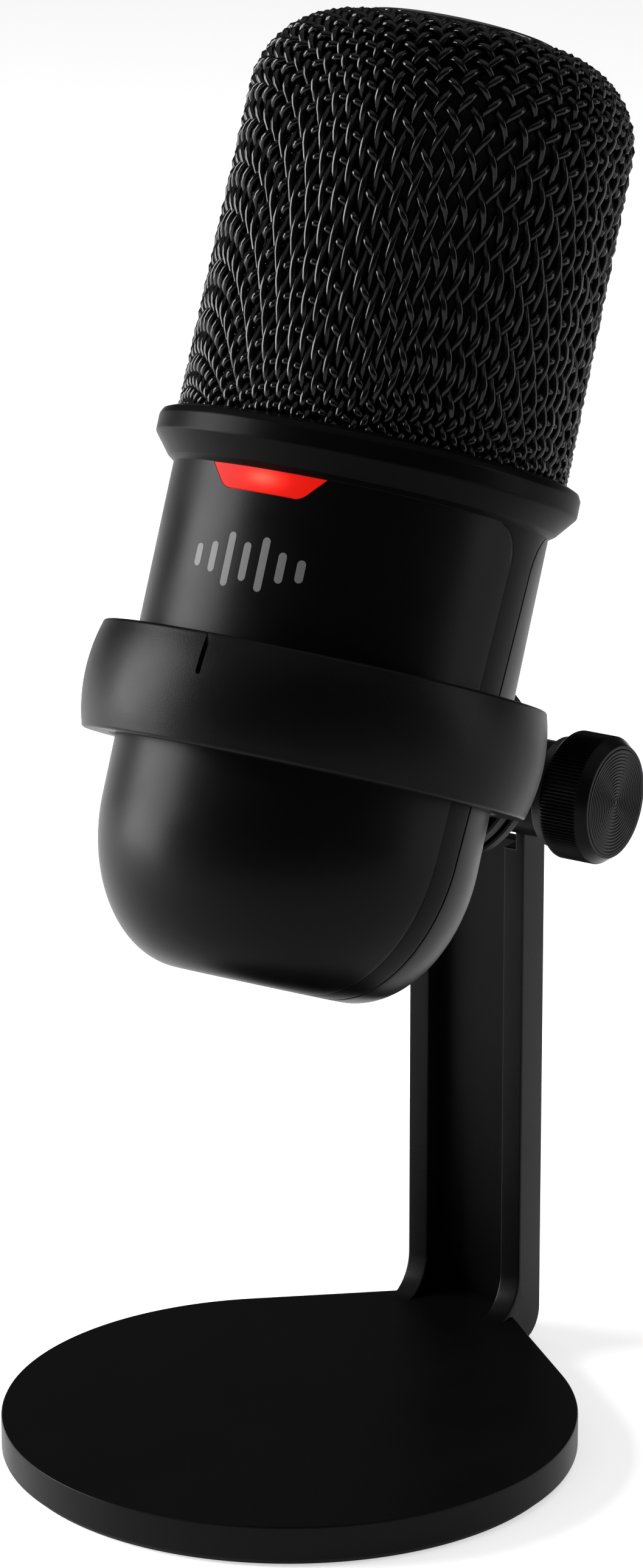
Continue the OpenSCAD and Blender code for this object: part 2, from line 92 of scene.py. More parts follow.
def makeStudio():
    right, up, back = viewAxes(view["azimuth"], view["elevation"])
    lens = bpy.data.cameras.new("camera")
    lens.lens = view["lens"]
    lens.sensor_width = 36
    camera = bpy.data.objects.new("camera", lens)
    camera.matrix_world = Matrix((right, up, back)).transposed().to_4x4()
    camera.location = right * view["right"] + up * view["up"] + back * view["distance"]
    bpy.context.scene.collection.objects.link(camera)
    bpy.context.scene.camera = camera

    world = bpy.data.worlds.new("room")
    world.use_nodes = True
    background = world.node_tree.nodes["Background"]
    background.inputs["Color"].default_value = (1, 1, 1, 1)
    seen = addNode(world.node_tree, "ShaderNodeLightPath").outputs["Is Camera Ray"]
    strength = addNode(world.node_tree, "ShaderNodeMapRange", inputs={
        "Value": seen, "To Min": studio["room"], "To Max": studio["backdrop"]})
    world.node_tree.links.new(strength.outputs["Result"], background.inputs["Strength"])
    bpy.context.scene.world = world

    for name, setting in softBoxes.items():
        addSoftBox(name, *setting)

    bm = bmesh.new()
    bmesh.ops.create_circle(bm, cap_ends=True, segments=96, radius=studio["floorRadius"])
    floor = makeObject("paper_floor", bm)
    paper = bpy.data.materials.new("paper")
    paper.use_nodes = True
    surface = paper.node_tree.nodes["Principled BSDF"]
    surface.inputs["Base Color"].default_value = (*studio["paper"], 1)
    surface.inputs["Roughness"].default_value = 0.7
    surface.inputs["Emission Color"].default_value = (1, 1, 1, 1)
    surface.inputs["Emission Strength"].default_value = studio["paperGlow"]
    floor.data.materials.append(paper)
    bpy.context.scene.view_settings.view_transform = "Standard"


# Places. The microphone is built upright about its own axis, with its ring's middle at zero, then leaned.

fit = {
    "swivelBack": 36.0,       # the swivel joint's point is this far behind the microphone's axis
    "swivelDrop": 0.8,        # and this far below the ring's middle
}
hinge = Vector(joints["tilt"]["pos_m"])
headBack = Vector(joints["swivel"]["axis"]).normalized()
headUp = Vector((1, 0, 0)).cross(headBack)
headPlace = Matrix((Vector((1, 0, 0)), headBack, headUp)).transposed().to_4x4()
headPlace.translation = (Vector(joints["swivel"]["pos_m"])
                         - headBack * fit["swivelBack"] * mm + headUp * fit["swivelDrop"] * mm)
standPlace = Matrix.Identity(4)
hingePlace = Matrix.Translation(hinge) @ Matrix.Rotation(math.radians(90), 4, "Y")     # its Z runs out to +X
alongX = Matrix(((0, 0, 1), (1, 0, 0), (0, 1, 0))).to_4x4()      # a (Y, Z) outline drawn flat, stood along X
alongY = Matrix(((1, 0, 0), (0, 0, 1), (0, -1, 0))).to_4x4()     # a turned shape's axis laid along +Y
swivelTurn = Matrix.Translation((0, 0, -fit["swivelDrop"])) @ alongY      # and about the swivel's own axis


# Mesh tools. Everything is drawn in millimetres, and made metres where it is placed.

def makeObject(name, bm):
    mesh = bpy.data.meshes.new(name)
    bm.to_mesh(mesh)
    bm.free()
    piece = bpy.data.objects.new(name, mesh)
    bpy.context.scene.collection.objects.link(piece)
    return piece


def bake(piece):
    evaluated = piece.evaluated_get(bpy.context.evaluated_depsgraph_get())
    mesh = bpy.data.meshes.new_from_object(evaluated)
    piece.modifiers.clear()
    piece.data = mesh
    return piece


def rounded(corners, steps=5):      # (x, y, radius) corners of a closed outline, each turned into a short arc
    points = []
    for i, (x, y, radius) in enumerate(corners):
        here = Vector((x, y))
        if radius == 0:
            points.append((x, y))
            continue
        before = (Vector(corners[i - 1][:2]) - here).normalized()
        after = (Vector(corners[(i + 1) % len(corners)][:2]) - here).normalized()
        half = before.angle(after) / 2
        centre = here + (before + after).normalized() * radius / math.sin(half)
        first = here + before * radius / math.tan(half) - centre
        last = here + after * radius / math.tan(half) - centre
        start = math.atan2(first.y, first.x)
        sweep = (math.atan2(last.y, last.x) - start + math.pi) % (2 * math.pi) - math.pi
        for k in range(steps + 1):
            angle = start + sweep * k / steps
            points.append((centre.x + radius * math.cos(angle), centre.y + radius * math.sin(angle)))
    return points


def arcPoints(centreX, centreY, radiusX, radiusY, first, last, steps):
    angles = [math.radians(first + (last - first) * k / steps) for k in range(steps + 1)]
    return [(centreX + radiusX * math.cos(a), centreY + radiusY * math.sin(a)) for a in angles]


def lathe(bm, outline, segments=192):       # (r, z) outline: from axis to axis, or a closed loop off the axis
    rings = []
    for r, z in outline:
        turns = segments if r > 1e-6 else 1
        angles = [2 * math.pi * k / segments for k in range(turns)]
        rings.append([bm.verts.new((r * math.cos(a), r * math.sin(a), z)) for a in angles])
    onAxis = outline[0][0] < 1e-6
    faces = []
    for i in range(len(rings) - (1 if onAxis else 0)):
        here, there = rings[i], rings[(i + 1) % len(rings)]
        for k in range(segments):
            n = (k + 1) % segments
            corners = [here[k % len(here)], here[n % len(here)], there[n % len(there)], there[k % len(there)]]
            faces.append(bm.faces.new(list(dict.fromkeys(corners))))
    bmesh.ops.recalc_face_normals(bm, faces=faces)


def turnedPiece(name, outline, segments=192, turn=Matrix.Identity(4)):
    bm = bmesh.new()
    lathe(bm, outline, segments)
    bmesh.ops.transform(bm, matrix=turn, verts=bm.verts)
    return makeObject(name, bm)


def prismPiece(name, outline, low, high, turn=Matrix.Identity(4)):
    bm = bmesh.new()
    bottom = [bm.verts.new((x, y, low)) for x, y in outline]
    top = [bm.verts.new((x, y, high)) for x, y in outline]
    bm.faces.new(bottom)
    bm.faces.new(top)
    for k in range(len(outline)):
        n = (k + 1) % len(outline)
        bm.faces.new((bottom[k], bottom[n], top[n], top[k]))
    bmesh.ops.recalc_face_normals(bm, faces=bm.faces)
    bmesh.ops.transform(bm, matrix=turn, verts=bm.verts)
    return makeObject(name, bm)


def joinPieces(name, pieces):
    bm = bmesh.new()
    for piece in pieces:
        bm.from_mesh(piece.data)
        bpy.data.objects.remove(piece)
    return makeObject(name, bm)


def combine(piece, operation, *others):
    for other in others:
        modifier = piece.modifiers.new(operation.lower(), "BOOLEAN")
        modifier.operation = operation
        modifier.solver = "EXACT"
        modifier.object = other
    bake(piece)
    for other in others:
        bpy.data.objects.remove(other)
    return piece


def bevelEdges(piece, width, segments=2, angle=35):       # rounds sharp edges that stand out, not hollow ones
    bm = bmesh.new()
    bm.from_mesh(piece.data)
    weight = bm.edges.layers.float.new("bevel_weight_edge")
    for edge in bm.edges:
        edge[weight] = float(edge.is_convex and edge.calc_face_angle(0) > math.radians(angle))
    bm.to_mesh(piece.data)
    bm.free()
    modifier = piece.modifiers.new("edges", "BEVEL")
    modifier.width = width
    modifier.segments = segments
    modifier.limit_method = "WEIGHT"
    modifier.use_clamp_overlap = False
    modifier.miter_outer = "MITER_ARC"
    return bake(piece)


def finishPiece(piece, place, body, slot, *nodes, material=None, crease=32):
    piece.data.transform(place @ Matrix.Scale(mm, 4))
    if crease:
        piece.data.shade_smooth()
        piece.data.set_sharp_from_angle(angle=math.radians(crease))
        evened = piece.modifiers.new("even_normals", "WEIGHTED_NORMAL")      # flat faces look flat
        evened.keep_sharp = True
        bake(piece)
    piece.data.materials.clear()
    piece.data.materials.append(material or finishes[slot])
    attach(piece, body)
    if nodes:
        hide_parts(*nodes)
    return piece


# Materials. Each finish is a slot of the record, with its grain sized in metres.

looks = {
    "stand_paint": {"colour": (0.0022, 0.0022, 0.0024), "rough": (0.30, 0.42), "grain": 0.00022, "bump": 0.16,
                    "specular": 0.075},
    "knob_metal": {"colour": (0.0035, 0.0035, 0.0038), "rough": (0.27, 0.37), "grain": 0.00015, "bump": 0.05,
                   "specular": 0.07, "metal": 0.25},
    "foot_rubber": {"colour": (0.018, 0.018, 0.018), "rough": (0.75, 0.9), "grain": 0.0004, "bump": 0.2,
                    "specular": 0.25},
    "fastener_steel": {"colour": (0.50, 0.50, 0.52), "rough": (0.28, 0.42), "grain": 0.0003, "bump": 0.05,
                       "specular": 0.5, "metal": 1.0},
    "shell_plastic": {"colour": (0.0015, 0.0015, 0.0017), "rough": (0.29, 0.38), "grain": 0.00028,
                      "bump": 0.07, "specular": 0.07},
    "trim_plastic": {"colour": (0.0014, 0.0014, 0.0016), "rough": (0.30, 0.40), "grain": 0.00028,
                     "bump": 0.08, "specular": 0.035},
    "grille_wire": {"colour": (0.0016, 0.0016, 0.0017), "rough": (0.13, 0.20), "grain": 0.0005, "bump": 0.04,
                    "specular": 0.19, "coat": 0.05},
    "plate_gloss": {"colour": (0.008, 0.008, 0.009), "rough": (0.07, 0.12), "grain": 0.0006, "bump": 0.01,
                    "specular": 0.5, "coat": 0.5},
    "board_green": {"colour": (0.02, 0.11, 0.05), "rough": (0.3, 0.45), "grain": 0.0008, "bump": 0.05,
                    "specular": 0.5},
    "part_black": {"colour": (0.02, 0.02, 0.02), "rough": (0.4, 0.55), "grain": 0.0005, "bump": 0.1,
                   "specular": 0.4},
    "led_white": {"colour": (0.85, 0.80, 0.68), "rough": (0.2, 0.3), "grain": 0.0005, "bump": 0.02,
                  "specular": 0.5},
    "port_metal": {"colour": (0.55, 0.55, 0.57), "rough": (0.25, 0.4), "grain": 0.0003, "bump": 0.04,
                   "specular": 0.5, "metal": 1.0},
    "capsule_metal": {"colour": (0.68, 0.52, 0.25), "rough": (0.22, 0.35), "grain": 0.0003, "bump": 0.04,
                      "specular": 0.5, "metal": 1.0},
    "foam_black": {"colour": (0.012, 0.012, 0.012), "rough": (0.9, 1.0), "grain": 0.0009, "bump": 0.9,
                   "specular": 0.1},
    "soft_rubber": {"colour": (0.02, 0.02, 0.02), "rough": (0.7, 0.85), "grain": 0.0004, "bump": 0.15,
                    "specular": 0.3},
}


def addNode(tree, kind, settings=None, inputs=None):
    node = tree.nodes.new(kind)
    for name, value in (settings or {}).items():
        setattr(node, name, value)
    for key, value in (inputs or {}).items():
        if isinstance(value, bpy.types.NodeSocket):
            tree.links.new(value, node.inputs[key])
        else:
            node.inputs[key].default_value = value
    return node


def mathsIn(tree):       # adds maths nodes to one tree
    def calc(operation, first, second=None):
        inputs = {0: first} if second is None else {0: first, 1: second}
        return addNode(tree, "ShaderNodeMath", {"operation": operation}, inputs).outputs[0]
    return calc


def newTree(name, inputs):       # Geometry Nodes, with a named input for each size and one for the finish
    tree = bpy.data.node_groups.new(name, "GeometryNodeTree")
    tree.interface.new_socket("Geometry", in_out="OUTPUT", socket_type="NodeSocketGeometry")
    tree.interface.new_socket("Geometry", in_out="INPUT", socket_type="NodeSocketGeometry")
    for socket, value in inputs.items():
        kind = "NodeSocketInt" if isinstance(value, int) else "NodeSocketFloat"
        tree.interface.new_socket(socket, in_out="INPUT", socket_type=kind)
    tree.interface.new_socket("Finish", in_out="INPUT", socket_type="NodeSocketMaterial")
    return tree, tree.nodes.new("NodeGroupInput").outputs


def endTree(tree, geometry, finish):
    real = addNode(tree, "GeometryNodeRealizeInstances", inputs={"Geometry": geometry})
    painted = addNode(tree, "GeometryNodeSetMaterial", inputs={
        "Geometry": real.outputs["Geometry"], "Material": finish})
    addNode(tree, "NodeGroupOutput", inputs={"Geometry": painted.outputs["Geometry"]})
    return tree


def runTree(piece, tree, values):       # gives each named input its value, then keeps the plain mesh
    modifier = piece.modifiers.new(tree.name, "NODES")
    modifier.node_group = tree
    for item in tree.interface.items_tree:
        if item.item_type == "SOCKET" and item.in_out == "INPUT" and item.name in values:
            modifier[item.identifier] = values[item.name]
    return bake(piece)


def blankMaterial(name):
    material = bpy.data.materials.new(name)
    material.use_nodes = True
    tree = material.node_tree
    return material, tree, tree.nodes["Principled BSDF"]


def makeFinish(name, look):
    material, tree, surface = blankMaterial(name)
    place = addNode(tree, "ShaderNodeTexCoord").outputs["Object"]
    fine = addNode(tree, "ShaderNodeTexNoise", inputs={
        "Vector": place, "Scale": 1 / look["grain"], "Detail": 3.0, "Roughness": 0.6})
    broad = addNode(tree, "ShaderNodeTexNoise", inputs={
        "Vector": place, "Scale": 55.0, "Detail": 4.0, "Roughness": 0.55})
    deep = [channel * 0.82 for channel in look["colour"]]
    pale = [channel * 1.25 for channel in look["colour"]]
    tone = addNode(tree, "ShaderNodeMix", {"data_type": "RGBA"}, {
        "Factor": broad.outputs["Fac"], "A": (*deep, 1), "B": (*pale, 1)})
    dull = addNode(tree, "ShaderNodeMapRange", inputs={
        "Value": broad.outputs["Fac"], "From Min": 0.3, "From Max": 0.7,
        "To Min": look["rough"][0], "To Max": look["rough"][1]})
    bump = addNode(tree, "ShaderNodeBump", inputs={
        "Height": fine.outputs["Fac"], "Strength": look["bump"], "Distance": look["grain"] * 0.5})
    tree.links.new(tone.outputs["Result"], surface.inputs["Base Color"])
    tree.links.new(dull.outputs["Result"], surface.inputs["Roughness"])
    tree.links.new(bump.outputs["Normal"], surface.inputs["Normal"])
    surface.inputs["Specular IOR Level"].default_value = look["specular"]
    surface.inputs["Metallic"].default_value = look.get("metal", 0.0)
    if "coat" in look:
        surface.inputs["Coat Weight"].default_value = look["coat"]
        surface.inputs["Coat Roughness"].default_value = 0.12
    return material


lamp = {
    "red": (1.0, 0.012, 0.006),
    "hot": (1.0, 0.07, 0.045),
    "dim": 0.65,              # strength at the lens's edge
    "bright": 1.9,            # and over the diode in its middle
    "lens": (0.12, 0.002, 0.001),
}


def makeLampFinish():
    material, tree, surface = blankMaterial("light_lens")
    glow = addNode(tree, "ShaderNodeAttribute", {"attribute_name": "glow"}).outputs["Fac"]
    tone = addNode(tree, "ShaderNodeMix", {"data_type": "RGBA"}, {
        "Factor": glow, "A": (*lamp["red"], 1), "B": (*lamp["hot"], 1)})
    power = addNode(tree, "ShaderNodeMapRange", inputs={
        "Value": glow, "To Min": lamp["dim"], "To Max": lamp["bright"]})
    tree.links.new(tone.outputs["Result"], surface.inputs["Emission Color"])
    tree.links.new(power.outputs["Result"], surface.inputs["Emission Strength"])
    surface.inputs["Base Color"].default_value = (*lamp["lens"], 1)
    surface.inputs["Roughness"].default_value = 0.45
    surface.inputs["Specular IOR Level"].default_value = 0.04
    return material


makeStudio()
finishes = {slot: makeFinish(slot, look) for slot, look in looks.items()}
finishes["light_lens"] = makeLampFinish()
print("stage: studio and", len(finishes), "finishes")


# Stand

base = {
    "radius": 39.25,
    "top": 5.7,
    "pad": 0.8,
    "padInset": 1.0,
    "padEdge": 0.15,
    "joint": 39.6,            # where the base plate ends and the upright's foot begins
}
post = {
    "half": 9.2,
    "front": 45.4,
    "back": 51.3,
    "foot": 40,               # where its foot starts, inside the plate
    "top": 74.4,
    "tail": 43.8,             # the base's flanks meet the post's sides here
    "rim": 3.2,
    "web": 2.3,
    "ear": 1.4,
    "hingeRadius": 6.8,
    "rightBoss": 12.9,
    "leftBoss": 13.0,
    "footFillet": 5.5,
    "heelRound": 4.0,
    "edge": 0.32,
}


def flankAngle():       # how the base's flanks lie, as they run from its round part to the post
    reach = math.hypot(post["half"], post["tail"])
    return math.atan2(post["half"], post["tail"]) + math.acos(base["radius"] / reach)


def roundPart(radius):
    tangent = 90 - math.degrees(flankAngle())
    return arcPoints(0, 0, radius, radius, 180 - tangent, 360 + tangent, 160)


def makePlateForm():
    half, tail, inside = post["half"], post["tail"], post["front"] + 2
    outline = roundPart(base["radius"]) + [(half, tail), (half, inside), (-half, inside), (-half, tail)]
    return prismPiece("base_plate_form", outline, base["pad"], base["top"])


def makeUprightForm():
    front, back, fillet = post["front"], post["back"], post["footFillet"]
    side = rounded([(post["foot"], base["pad"], 0), (back, base["pad"], post["heelRound"]),
                    (back, post["top"], 0), (front, post["top"], 0)], 10)
    side += arcPoints(front - fillet, base["top"] + fillet, fillet, fillet, 0, -90, 12)
    side.append((post["foot"], base["top"] - 0.5))
    return prismPiece("upright_form", side, -post["half"], post["half"], alongX)


def makeEars():       # one on each side of the channel, round about the hinge
    radius, front, back, half = post["hingeRadius"], post["front"], post["back"], post["half"]
    hingeY, hingeZ = hinge.y / mm, hinge.z / mm
    lean = math.degrees(math.asin((back - hingeY) / radius))
    steep = math.degrees(math.asin((hingeY - front) / radius))
    outline = [(back, post["top"] - 1)]
    outline += arcPoints(hingeY, hingeZ, radius, radius, -90 + lean, 270 - steep, 64)
    outline.append((front, post["top"] - 1))
    return [prismPiece("ear_form", outline, half - post["ear"], half, alongX),
            prismPiece("ear_form", outline, -half, post["ear"] - half, alongX)]


def makeBosses():
    girth, start, ease = post["hingeRadius"] - 0.03, post["half"] - 0.7, 0.25
    right, left = post["rightBoss"], post["leftBoss"]
    nearShape = [(0, start), (girth, start), (girth, right - ease), (girth - ease, right), (0, right)]
    farShape = [(0, -start), (girth, -start), (girth, ease - left), (girth - ease, -left), (0, -left)]
    toHinge = Matrix.Translation((0, hinge.y / mm, hinge.z / mm)) @ Matrix.Rotation(math.radians(90), 4, "Y")
    return [turnedPiece("boss_form", shape, 96, toHinge) for shape in (nearShape, farShape)]


def makeChannelForm():
    half, floorY, low, high = post["half"] - post["rim"], post["back"] - post["web"], base["top"], 100
    outline = [(0, low), (floorY, low), (floorY, high), (0, high)]
    return prismPiece("channel_form", outline, -half, half, alongX)


def makeStand():
    stand = makePlateForm()
    combine(stand, "UNION", makeUprightForm(), *makeEars())
    combine(stand, "DIFFERENCE", makeChannelForm())
    bevelEdges(stand, post["edge"])
    bm = bmesh.new()
    bm.from_mesh(stand.data)
    bmesh.ops.triangulate(bm, faces=bm.faces[:])       # so the last unions stay closed
    bm.to_mesh(stand.data)
    bm.free()
    for boss in makeBosses():
        combine(stand, "UNION", boss)
    return stand


def halfOf(piece, name, keepFront):       # cuts the stand at its joint and closes the cut
    bm = bmesh.new()
    bm.from_mesh(piece.data)
    normal = (0, 1, 0) if keepFront else (0, -1, 0)
    everything = bm.verts[:] + bm.edges[:] + bm.faces[:]
    bmesh.ops.bisect_plane(bm, geom=everything, plane_co=(0, base["joint"], 0), plane_no=normal,
                           clear_outer=True, dist=1e-5)
    bmesh.ops.holes_fill(bm, edges=[edge for edge in bm.edges if edge.is_boundary], sides=0)
    bmesh.ops.recalc_face_normals(bm, faces=bm.faces)
    return makeObject(name, bm)


def makeFootPad():
    radius, flank = base["radius"] - base["padInset"], flankAngle()
    backX = (radius - base["joint"] * math.cos(flank)) / math.sin(flank)
    outline = roundPart(radius) + [(backX, base["joint"]), (-backX, base["joint"])]
    pad = prismPiece("foot_pad_rubber", outline, 0, base["pad"])
    return bevelEdges(pad, base["padEdge"])


standForm = makeStand()
finishPiece(halfOf(standForm, "base_plate_body", True), standPlace, "stand", "stand_paint", "base_plate")
finishPiece(halfOf(standForm, "upright_body", False), standPlace, "stand", "stand_paint", "upright_post")
bpy.data.objects.remove(standForm)
finishPiece(makeFootPad(), standPlace, "stand", "foot_rubber", "foot_pad")
print("stage: stand")


# Hinge and clamp knob, turned about the hinge's axis

clamp = {
    "washer": (13.0, 14.7, 7.7, 2.56),        # where it starts and ends, its radius and its hole's
    "knobStart": 14.8,
    "knobEnd": 21.95,
    "knobRadius": 8.9,
    "faceRadius": 7.3,
    "bandRadius": 7.8,                # inner edge of the bright turned band
    "bandDepth": 1.4,
    "grooves": 15,
    "grooveDepth": 0.07,
    "cap": (-14.3, -13.0, 6.6, 0.6),          # where it starts and ends, its radius and its edge's
}
knurl = {
    "Ridges": 112,
    "Depth": 0.16,
    "Radius": clamp["knobRadius"],
}


def knurlTree():       # cuts straight ridges into whatever of a turned shape lies at the full radius
    tree, given = newTree("knurl_ridges", knurl)
    calc = mathsIn(tree)
    place = addNode(tree, "GeometryNodeInputPosition").outputs["Position"]
    parts = addNode(tree, "ShaderNodeSeparateXYZ", inputs={"Vector": place}).outputs
    angle = calc("ARCTAN2", parts["Y"], parts["X"])
    wave = calc("COSINE", calc("MULTIPLY", angle, given["Ridges"]))
    sink = calc("MULTIPLY", calc("SUBTRACT", wave, 1.0), calc("MULTIPLY", given["Depth"], 0.5))
    flat = addNode(tree, "ShaderNodeVectorMath", {"operation": "MULTIPLY"},
                   {0: place, 1: (1, 1, 0)}).outputs["Vector"]
    distance = addNode(tree, "ShaderNodeVectorMath", {"operation": "LENGTH"}, {0: flat}).outputs["Value"]
    outward = addNode(tree, "ShaderNodeVectorMath", {"operation": "NORMALIZE"}, {0: flat}).outputs["Vector"]
    shift = addNode(tree, "ShaderNodeVectorMath", {"operation": "SCALE"}, {0: outward, "Scale": sink})
    onSide = calc("GREATER_THAN", distance, calc("SUBTRACT", given["Radius"], 0.02))
    moved = addNode(tree, "GeometryNodeSetPosition", inputs={
        "Geometry": given["Geometry"], "Selection": onSide, "Offset": shift.outputs["Vector"]})
    return endTree(tree, moved.outputs["Geometry"], given["Finish"])


def makeKnobGrip():
    length = clamp["knobEnd"] - clamp["knobStart"]
    radius, band = clamp["knobRadius"], clamp["bandRadius"]
    ridgeEnd = length - clamp["bandDepth"]
    dish = clamp["faceRadius"] + 0.04
    outline = [(0, 0), (radius - 0.5, 0), (radius - 0.12, 0.42)]
    outline += [(radius, 0.6 + (ridgeEnd - 0.75) * k / 6) for k in range(7)]
    outline += [(radius - 0.18, ridgeEnd), (radius - 0.21, ridgeEnd + 0.04), (band + 0.05, length - 0.04),
                (band - 0.03, length), (dish + 0.04, length), (dish, length - 0.1), (dish, length - 0.5),
                (0, length - 0.5)]
    grip = turnedPiece("knob_grip_knurled", outline, knurl["Ridges"] * 6)
    return runTree(grip, knurlTree(), {**knurl, "Finish": finishes["knob_metal"]})


def makeKnobFace():       # a disc with fine turned rings
    length = clamp["knobEnd"] - clamp["knobStart"]
    radius, deep = clamp["faceRadius"], clamp["grooveDepth"]
    step = (radius - 0.5) / clamp["grooves"]
    top = length + 0.08
    outline = [(0, length - 0.45), (radius, length - 0.45), (radius, top - 0.08), (radius - 0.08, top)]
    for groove in range(clamp["grooves"], 0, -1):
        outer = 0.25 + step * groove
        outline += [(outer - step * 0.10, top), (outer - step * 0.35, top - deep),
                    (outer - step * 0.65, top - deep), (outer - step * 0.90, top)]
    outline.append((0, top))
    return turnedPiece("knob_face_turned", outline, 128)


knobPlace = Matrix.Translation((clamp["knobStart"] * mm, 0, 0)) @ hingePlace
finishPiece(makeKnobGrip(), knobPlace, "knob", "knob_metal", "knob_grip", crease=24)
finishPiece(makeKnobFace(), knobPlace, "knob", "knob_metal", "knob_face", crease=24)


def makeClampWasher():
    low, high, outer, hole = clamp["washer"]
    outline = rounded([(hole, low, 0), (outer, low, 0.25), (outer, high, 0.25), (hole, high, 0)], 3)
    return turnedPiece("clamp_washer_ring", outline, 128)


def makeHingeCap():
    low, high, outer, edge = clamp["cap"]
    outline = [(0, low)] + arcPoints(outer - edge, low + edge, edge, edge, -90, 0, 6)
    return turnedPiece("hinge_cap_turned", outline + [(outer, high), (0, high)], 128)


finishPiece(makeClampWasher(), hingePlace, "clamp", "part_black", "clamp_washer")
finishPiece(makeHingeCap(), hingePlace, "stand", "stand_paint", "hinge_cap")
print("stage: hinge and knob")


# Swivel bracket and carrying ring

swivel = {
    "discRadius": 13.8,
    "disc": (36.0, 38.2),
    "washer": (35.7, 36.0, 3.1, 12.8),        # where it starts and ends, and its two radii
    "neckHalf": 7.5,
    "neckHeight": 5.0,
    "knuckle": (46.3, -1.1, 6.7),     # its axis behind and below the ring's middle, and its radius
    "edge": 0.3,
}
ring = {
    "inner": 26.0,
    "widest": 31.0,
    "arc": 24.4,              # radius of its barrel curve
    "middle": 0.3,
    "height": 14.6,
    "boss": 11.0,
    "disc": 13.4,
    "discY": (33.0, 35.4),
    "grooveHalf": 0.36,
    "grooveLow": 2.3,
    "grooveDepth": 0.6,
    "edge": 0.55,
    "innerEdge": 0.35,
}


def makeBracket():
    low, high = swivel["disc"]
    radius = swivel["discRadius"]
    outline = [(0, low), (radius - 0.25, low), (radius, low + 0.25)]
    outline += arcPoints(radius - 0.7, high - 0.7, 0.7, 0.7, 0, 90, 5) + [(0, high)]
    disc = turnedPiece("bracket_form", outline, 192, swivelTurn)
    back, drop, knuckleRadius = swivel["knuckle"]
    neckHalf, tall = swivel["neckHalf"], swivel["neckHeight"]
    meet = 180 - math.degrees(math.asin(tall / knuckleRadius))
    side = [(high - 1, drop - tall)] + arcPoints(back, drop, knuckleRadius, knuckleRadius, -meet, meet, 72)
    side.append((high - 1, drop + tall))
    neck = prismPiece("neck_form", side, -neckHalf, neckHalf, alongX)
    bevelEdges(neck, swivel["edge"])
    combine(disc, "UNION", neck)
    disc.name = "swivel_bracket_body"
    return disc


def barrel(z):
    return ring["widest"] - ring["arc"] + math.sqrt(ring["arc"] ** 2 - (z - ring["middle"]) ** 2)


def makeCarryingRing():
    low, high = ring["middle"] - ring["height"] / 2, ring["middle"] + ring["height"] / 2
    edge, inner, ease = ring["edge"], ring["inner"], ring["innerEdge"]
    outline = [(inner + ease, high), (inner, high - ease), (inner, low + ease), (inner + ease, low)]
    outline += arcPoints(barrel(low + edge) - edge, low + edge, edge, edge, -90, 0, 6)
    outline += [(barrel(z), z) for z in
                (low + edge + (high - low - 2 * edge) * k / 18 for k in range(1, 18))]
    outline += arcPoints(barrel(high - edge) - edge, high - edge, edge, edge, 0, 90, 6)
    hoop = turnedPiece("carrying_ring_body", outline, 256)
    front, back = ring["discY"]
    disc = ring["disc"]
    boss = turnedPiece("boss_form", [(0, 27), (ring["boss"], 27), (ring["boss"], front + 0.2),
                                     (disc - 0.3, front + 0.2), (disc, front + 0.5), (disc, back - 0.3),
                                     (disc - 0.3, back), (0, back)], 192, swivelTurn)
    clear = inner + 0.6
    inside = turnedPiece("bore_form", [(0, -20), (clear, -20), (clear, 20), (0, 20)], 256)
    combine(boss, "DIFFERENCE", inside)
    combine(hoop, "UNION", boss)
    half, depth = ring["grooveHalf"], barrel(5) - ring["grooveDepth"]
    groove = prismPiece("groove_form", [(-half, high + 1), (half, high + 1)]
                        + arcPoints(0, ring["grooveLow"], half, half, 0, -180, 8), depth, 34,
                        Matrix.Rotation(math.radians(90), 4, "X"))
    return combine(hoop, "DIFFERENCE", groove)


def makeSlipWasher():
    low, high, hole, outer = swivel["washer"]
    outline = [(hole, low), (outer, low), (outer, high), (hole, high)]
    return turnedPiece("swivel_slip_washer", outline, 128, swivelTurn)


finishPiece(makeBracket(), headPlace, "bracket", "stand_paint", "hinge_bracket")
finishPiece(makeCarryingRing(), headPlace, "head", "stand_paint", "carrying_ring")
finishPiece(makeSlipWasher(), headPlace, "bracket", "soft_rubber", "swivel_washer")
print("stage: bracket and ring")


# Body: two shells on a chassis band, under a flared collar

body = {
    "radius": 25.35,
    "top": 29.9,
    "domeZ": -15.0,           # where the sides start to round under
    "domeHeight": 20.5,
    "flat": 11.0,             # radius of the flat underneath
    "capHole": 10.6,
    "wall": 2.0,
    "gap": 0.2,               # seam between the pieces
    "cornerRound": 5.0,       # the shells' corners under the collar
    "edge": 0.16,
    "frontSeam": (-3.1, 0.06),        # where the seam is at the ring's middle, and its slope
    "rearSeam": (2.1, 0.095),
    "columns": 120,
}
collar = {
    "inner": 21.5,
    "foot": 25.35,
    "low": 29.85,
    "neckZ": 30.6,
    "seatZ": 33.6,            # the floor inside it, that the grille stands on
    "flare": 28.5,
    "flareZ": 33.4,
    "top": 37.0,
    "lip": 26.5,
}


def bodyRows():       # (r, z, normal r, normal z) from the collar down and round under
    corner, top = body["cornerRound"], body["top"]
    rows = [(body["radius"], top - corner + corner * math.sin(math.pi / 2 * (1 - k / 12)), 1, 0)
            for k in range(13)]
    straight = top - corner - body["domeZ"]
    rows += [(body["radius"], top - corner - straight * k / 20, 1, 0) for k in range(1, 20)]
    wide = body["radius"] - body["flat"]
    for k in range(41):
        angle = math.radians(-90 * k / 40)
        normal = Vector((math.cos(angle) / wide, math.sin(angle) / body["domeHeight"])).normalized()
        rows.append((body["flat"] + wide * math.cos(angle),
                     body["domeZ"] + body["domeHeight"] * math.sin(angle), normal.x, normal.y))
    rows.append((body["capHole"], body["domeZ"] - body["domeHeight"], 0, -1))
    return rows


